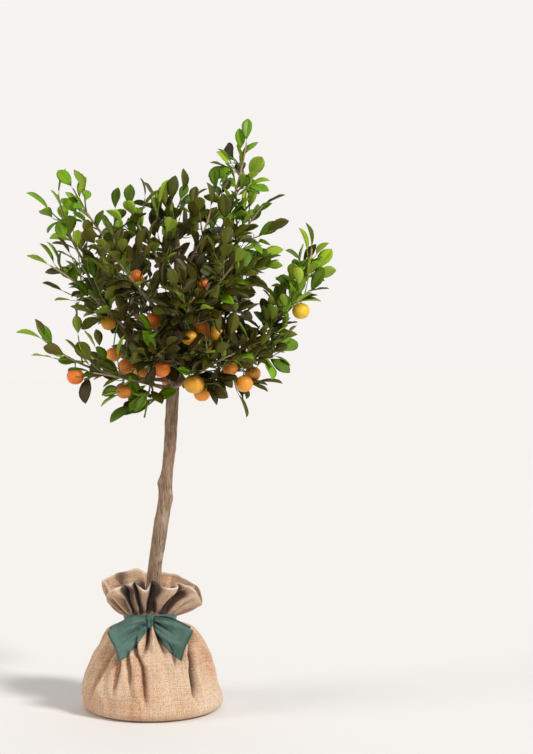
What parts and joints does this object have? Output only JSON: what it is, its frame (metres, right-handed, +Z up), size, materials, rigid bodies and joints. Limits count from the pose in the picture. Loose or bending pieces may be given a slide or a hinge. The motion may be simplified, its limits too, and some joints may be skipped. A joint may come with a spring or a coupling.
{
  "type": "calamondin orange tree",
  "caption": "Small standard citrus tree with a clear leaning stem, a round fruiting crown and a tied hessian sack round its pot.",
  "frame": {"origin": "centre of the sack's flat underside, where the pot stands", "axes": "+Z up; the sack's front with its bow faces -Y, and the stem leans towards +X"},
  "size_m": [0.4606, 0.3614, 0.8815],
  "materials": {
    "bark": "dry grey-brown bark with a fine upright grain",
    "foliage": "leathery citrus leaves with a soft sheen",
    "fruit": "waxy dimpled citrus peel",
    "hessian": "coarse plain-woven hessian",
    "ribbon": "matt green cotton ribbon",
    "soil": "dark crumbly potting soil"
  },
  "bodies": {
    "root": {"bough_back": "bark", "bough_back_left": "bark", "bough_back_right": "bark", "bough_far_right": "bark", "bough_front": "bark", "bough_front_left": "bark", "bough_front_right": "bark", "bough_left": "bark", "bough_low_back": "bark", "bough_low_back_left": "bark", "bough_low_front": "bark", "bough_low_front_left": "bark", "bough_low_front_right": "bark", "bough_low_left": "bark", "bough_low_right": "bark", "bough_mid_left": "bark", "bough_right": "bark", "bough_tall_right": "bark", "bough_top_left": "bark", "bough_top_near_left": "bark", "bough_top_right": "bark", "bough_upper_right": "bark", "bow_knot": "ribbon", "bow_loop_left": "ribbon", "bow_loop_right": "ribbon", "foliage_back": "foliage", "foliage_back_left": "foliage", "foliage_back_right": "foliage", "foliage_far_right": "foliage", "foliage_front": "foliage", "foliage_front_left": "foliage", "foliage_front_right": "foliage", "foliage_leader": "foliage", "foliage_left": "foliage", "foliage_low_back": "foliage", "foliage_low_back_left": "foliage", "foliage_low_front": "foliage", "foliage_low_front_left": "foliage", "foliage_low_front_right": "foliage", "foliage_low_left": "foliage", "foliage_low_right": "foliage", "foliage_low_twig": "foliage", "foliage_mid_left": "foliage", "foliage_right": "foliage", "foliage_tall_right": "foliage", "foliage_top_left": "foliage", "foliage_top_near_left": "foliage", "foliage_top_right": "foliage", "foliage_upper_right": "foliage", "ribbon_band": "ribbon", "sack_body": "hessian", "sack_collar": "hessian", "soil": "soil", "trunk": "bark"}
  },
  "joints": []
}
